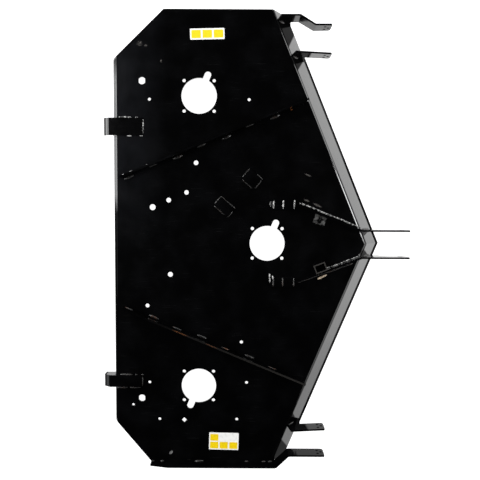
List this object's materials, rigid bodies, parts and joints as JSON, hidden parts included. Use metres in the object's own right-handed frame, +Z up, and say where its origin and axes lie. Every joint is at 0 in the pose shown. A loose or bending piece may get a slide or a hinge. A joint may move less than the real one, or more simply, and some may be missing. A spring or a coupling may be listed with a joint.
{
  "type": "lawn mower deck",
  "caption": "Bare welded steel deck of a trailed rotary mower: folded top with spindle holes, V front with lugs and a clevis hitch, skirts all round, open below.",
  "frame": {"origin": "axis of the centre spindle hole, on the deck's top face", "axes": "+X forward, to the hitch; +Y to the machine's left, along the deck's width; +Z up"},
  "size_m": [1.026, 1.5345, 0.167],
  "materials": {
    "black_paint": "gloss black paint over steel",
    "weld_bead": "gloss black paint over rough weld beads",
    "label_white": "blank white film",
    "label_yellow": "plain yellow print"
  },
  "bodies": {
    "root": {"deck_plate": "black_paint", "left_skirt": "black_paint", "left_corner_skirt": "black_paint", "right_corner_skirt": "black_paint", "right_skirt": "black_paint", "front_skirt_left": "black_paint", "front_skirt_right": "black_paint", "left_outer_lug": "black_paint", "left_inner_lug": "black_paint", "right_inner_lug": "black_paint", "right_side_bar": "black_paint", "hitch_plate_left": "black_paint", "hitch_plate_right": "black_paint", "hitch_foot_left": "black_paint", "hitch_foot_right": "black_paint", "hitch_post_right": "black_paint", "hitch_pad_left": "black_paint", "stiffener_left": "black_paint", "stiffener_right": "black_paint", "rear_bracket_left": "black_paint", "rear_bracket_right": "black_paint", "idler_pad_rear": "black_paint", "idler_pad_front": "black_paint"}
  },
  "joints": []
}
